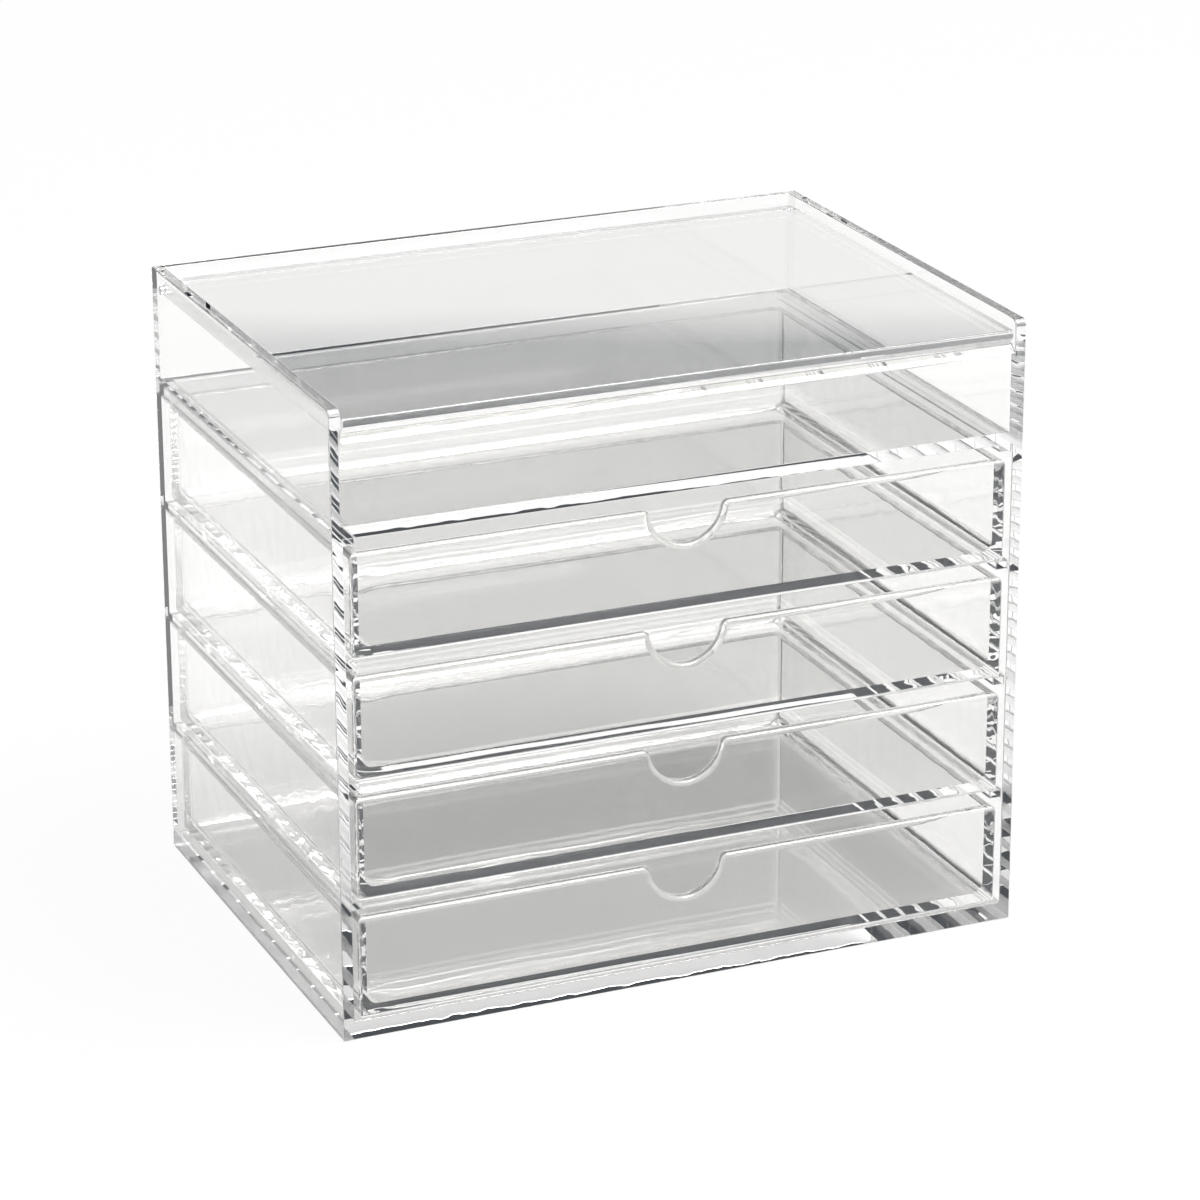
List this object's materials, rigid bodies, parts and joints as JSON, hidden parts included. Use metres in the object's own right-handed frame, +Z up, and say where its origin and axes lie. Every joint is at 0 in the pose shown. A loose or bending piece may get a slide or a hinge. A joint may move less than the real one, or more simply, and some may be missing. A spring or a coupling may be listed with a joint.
{
  "type": "acrylic drawer chest",
  "caption": "Clear acrylic tabletop drawer chest: open-fronted casing with side rails, pull-out drawers with half-round finger notches, and a top compartment with a hinged lid.",
  "frame": {"origin": "middle of the underside of the casing, on the surface that the chest stands on", "axes": "+X to the right seen from the open front, -Y out of the open front, +Z up"},
  "size_m": [0.187, 0.135, 0.165],
  "materials": {
    "clear_sheet": "clear polished acrylic sheet",
    "clear_lid": "clear polished acrylic plate",
    "clear_moulding": "clear moulded plastic",
    "pin_steel": "plain steel pin"
  },
  "bodies": {
    "casing": {"left_side_panel": "clear_sheet", "right_side_panel": "clear_sheet", "back_panel": "clear_sheet", "base_panel": "clear_sheet", "shelf": "clear_sheet", "front_panel": "clear_sheet", "left_shelf_rail": "clear_sheet", "right_shelf_rail": "clear_sheet", "left_drawer_1_rail": "clear_sheet", "right_drawer_1_rail": "clear_sheet", "left_drawer_2_rail": "clear_sheet", "right_drawer_2_rail": "clear_sheet", "left_drawer_3_rail": "clear_sheet", "right_drawer_3_rail": "clear_sheet", "left_hinge_pin": "pin_steel", "right_hinge_pin": "pin_steel"},
    "lid": {"lid": "clear_lid"},
    "drawer_1": {"drawer_1": "clear_moulding"},
    "drawer_2": {"drawer_2": "clear_moulding"},
    "drawer_3": {"drawer_3": "clear_moulding"},
    "drawer_4": {"drawer_4": "clear_moulding"}
  },
  "joints": [
    {"name": "lid_hinge", "type": "hinge", "parent": "casing", "child": "lid", "pos_m": [0, 0.0605, 0.1604], "axis": [-1, 0, 0], "range_deg": [0, 115]},
    {"name": "drawer_1_slide", "type": "slide", "parent": "casing", "child": "drawer_1", "axis": [0, -1, 0], "range_m": [0, 0.09]},
    {"name": "drawer_2_slide", "type": "slide", "parent": "casing", "child": "drawer_2", "axis": [0, -1, 0], "range_m": [0, 0.09]},
    {"name": "drawer_3_slide", "type": "slide", "parent": "casing", "child": "drawer_3", "axis": [0, -1, 0], "range_m": [0, 0.09]},
    {"name": "drawer_4_slide", "type": "slide", "parent": "casing", "child": "drawer_4", "axis": [0, -1, 0], "range_m": [0, 0.09]}
  ]
}
